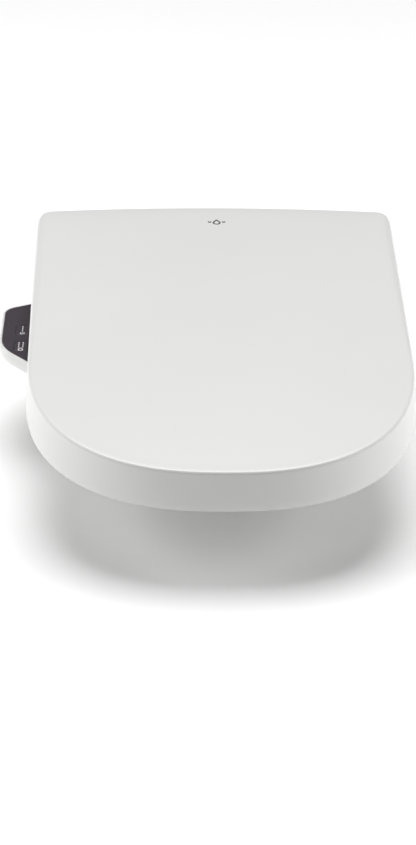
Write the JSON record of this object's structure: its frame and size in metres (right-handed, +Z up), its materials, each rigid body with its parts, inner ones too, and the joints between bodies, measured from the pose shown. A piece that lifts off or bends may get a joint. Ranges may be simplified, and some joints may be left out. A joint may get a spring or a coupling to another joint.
{
  "type": "electric bidet seat",
  "caption": "Electric bidet toilet seat with hinged lid and heated ring, side control panel, sliding wash nozzles and a quick-release mount.",
  "frame": {"origin": "on the bowl's deck, midway between the two mounting bolts (the underside of the mounting plate)", "axes": "+Z up, +Y towards the cistern, -Y to the front of the ring, -X the side with the control panel"},
  "size_m": [0.4255, 0.5257, 0.1861],
  "materials": {
    "white_plastic": "semi-gloss moulded",
    "black_panel": "gloss",
    "grey_plastic": "moulded",
    "dark_plastic": "moulded",
    "rubber": "soft",
    "steel": "turned",
    "brass": "turned",
    "board": "solder mask",
    "hose": "silicone",
    "heater_film": "polyimide film"
  },
  "bodies": {
    "mount": {"mounting_plate": "grey_plastic", "mounting_bolt_left": "steel", "mounting_bolt_right": "steel", "bowl_washer_left": "rubber", "bowl_washer_right": "rubber", "wing_nut_left": "grey_plastic", "wing_nut_right": "grey_plastic"},
    "main_unit": {"body_base": "white_plastic", "top_cover": "white_plastic", "nozzle_guard": "white_plastic", "water_heater": "grey_plastic", "diverter_valve": "dark_plastic", "inlet_valve": "dark_plastic", "water_inlet_fitting": "brass", "inlet_strainer": "grey_plastic", "cord_gland": "dark_plastic", "inlet_hose": "hose", "heater_hose": "hose", "power_board": "board", "control_board": "board", "fan_housing": "dark_plastic", "nozzle_cradle": "grey_plastic", "rear_nozzle_motor": "steel", "front_nozzle_motor": "steel", "lid_damper": "dark_plastic", "seat_damper": "dark_plastic", "panel_lower_shell": "white_plastic", "panel_upper_shell": "white_plastic", "panel_face": "black_panel", "panel_board": "board"},
    "button": {"release_button": "grey_plastic", "release_latch": "steel"},
    "power_key": {"key_power": "black_panel"},
    "wash_key": {"key_wash": "black_panel"},
    "filter": {"carbon_filter": "grey_plastic"},
    "impeller": {"fan_impeller": "dark_plastic"},
    "rear_wand": {"rear_nozzle": "white_plastic"},
    "front_wand": {"front_nozzle": "white_plastic"},
    "rear_gear": {"rear_pinion": "grey_plastic"},
    "front_gear": {"front_pinion": "grey_plastic"},
    "seat": {"seat_upper_shell": "white_plastic", "seat_lower_shell": "white_plastic", "seat_heater_mat": "heater_film", "seat_arm_left": "white_plastic", "seat_arm_right": "white_plastic", "seat_damper_shaft": "steel", "seat_foot_front_left": "rubber", "seat_foot_front_right": "rubber", "seat_foot_rear_left": "rubber", "seat_foot_rear_right": "rubber"},
    "lid": {"lid_shell": "white_plastic", "lid_lug_left": "white_plastic", "lid_lug_right": "white_plastic", "lid_pad_left": "rubber", "lid_pad_right": "rubber", "lid_damper_shaft": "steel", "lid_pivot_pin": "steel"}
  },
  "joints": [
    {"name": "release_slide", "type": "slide", "parent": "mount", "child": "main_unit", "axis": [0, -1, 0], "range_m": [0, 0.05]},
    {"name": "seat_hinge", "type": "hinge", "parent": "main_unit", "child": "seat", "pos_m": [0, 0.004, 0.084], "axis": [1, 0, 0], "range_deg": [-95, 0]},
    {"name": "lid_hinge", "type": "hinge", "parent": "seat", "child": "lid", "pos_m": [0, 0.004, 0.084], "axis": [-1, 0, 0], "range_deg": [0, 105]},
    {"name": "rear_nozzle_slide", "type": "slide", "parent": "main_unit", "child": "rear_wand", "axis": [0, -0.9063, -0.4226], "range_m": [0, 0.08]},
    {"name": "front_nozzle_slide", "type": "slide", "parent": "main_unit", "child": "front_wand", "axis": [0, -0.9063, -0.4226], "range_m": [0, 0.08]},
    {"name": "rear_gear_spin", "type": "hinge", "parent": "main_unit", "child": "rear_gear", "pos_m": [0, -0.07644, 0.05866], "axis": [1, 0, 0], "range_deg": [-770, 10]},
    {"name": "front_gear_spin", "type": "hinge", "parent": "main_unit", "child": "front_gear", "pos_m": [0, -0.07644, 0.05866], "axis": [1, 0, 0], "range_deg": [-770, 10]},
    {"name": "filter_slide", "type": "slide", "parent": "main_unit", "child": "filter", "axis": [1, 0, 0], "range_m": [0, 0.045]},
    {"name": "impeller_spin", "type": "hinge", "parent": "main_unit", "child": "impeller", "pos_m": [0.115, -0.022, 0.034], "axis": [1, 0, 0], "continuous": true},
    {"name": "release_button_press", "type": "slide", "parent": "main_unit", "child": "button", "axis": [-1, 0, 0], "range_m": [0, 0.004], "stiffness_N_per_m": 600, "springref_m": -0.002},
    {"name": "power_key_press", "type": "slide", "parent": "main_unit", "child": "power_key", "axis": [0, 0, -1], "range_m": [0, 0.0006], "stiffness_N_per_m": 1500, "springref_m": -0.0005},
    {"name": "wash_key_press", "type": "slide", "parent": "main_unit", "child": "wash_key", "axis": [0, 0, -1], "range_m": [0, 0.0006], "stiffness_N_per_m": 1500, "springref_m": -0.0005}
  ],
  "couplings": [
    {"joint": "rear_gear_spin", "follows": "rear_nozzle_slide", "rad_per_m": -166.67},
    {"joint": "front_gear_spin", "follows": "front_nozzle_slide", "rad_per_m": -166.67}
  ]
}
